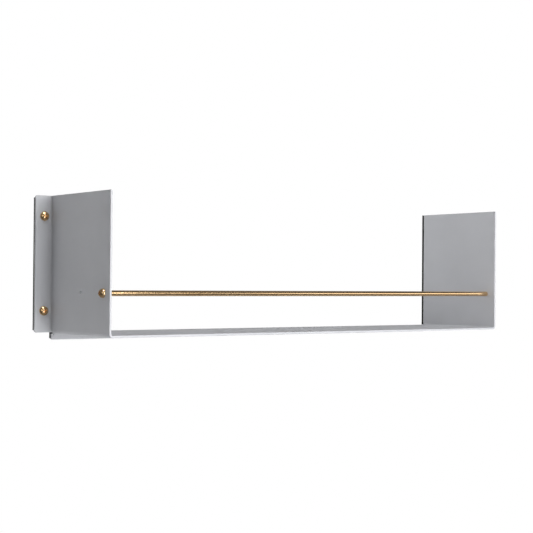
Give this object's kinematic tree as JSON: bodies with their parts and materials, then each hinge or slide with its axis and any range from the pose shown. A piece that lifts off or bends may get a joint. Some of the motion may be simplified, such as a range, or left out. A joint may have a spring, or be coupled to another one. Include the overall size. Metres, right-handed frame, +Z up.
{
  "type": "wall shelf",
  "caption": "Open wall shelf folded from one painted steel sheet, with side flanges that screw to the wall and a round brass rail across its open front.",
  "frame": {"origin": "on the wall plane, in the middle of the four wall fixings", "axes": "+X along the wall to the right as seen from the room, +Y into the wall, +Z up"},
  "size_m": [0.598, 0.17, 0.157],
  "materials": {
    "painted_steel": "satin powder coat",
    "brass": "satin"
  },
  "bodies": {
    "root": {"shelf_body": "painted_steel", "front_rail": "brass", "rail_screw_left": "brass", "rail_screw_right": "brass", "wall_screw_left_upper": "brass", "wall_screw_left_lower": "brass", "wall_screw_right_upper": "brass", "wall_screw_right_lower": "brass"}
  },
  "joints": []
}
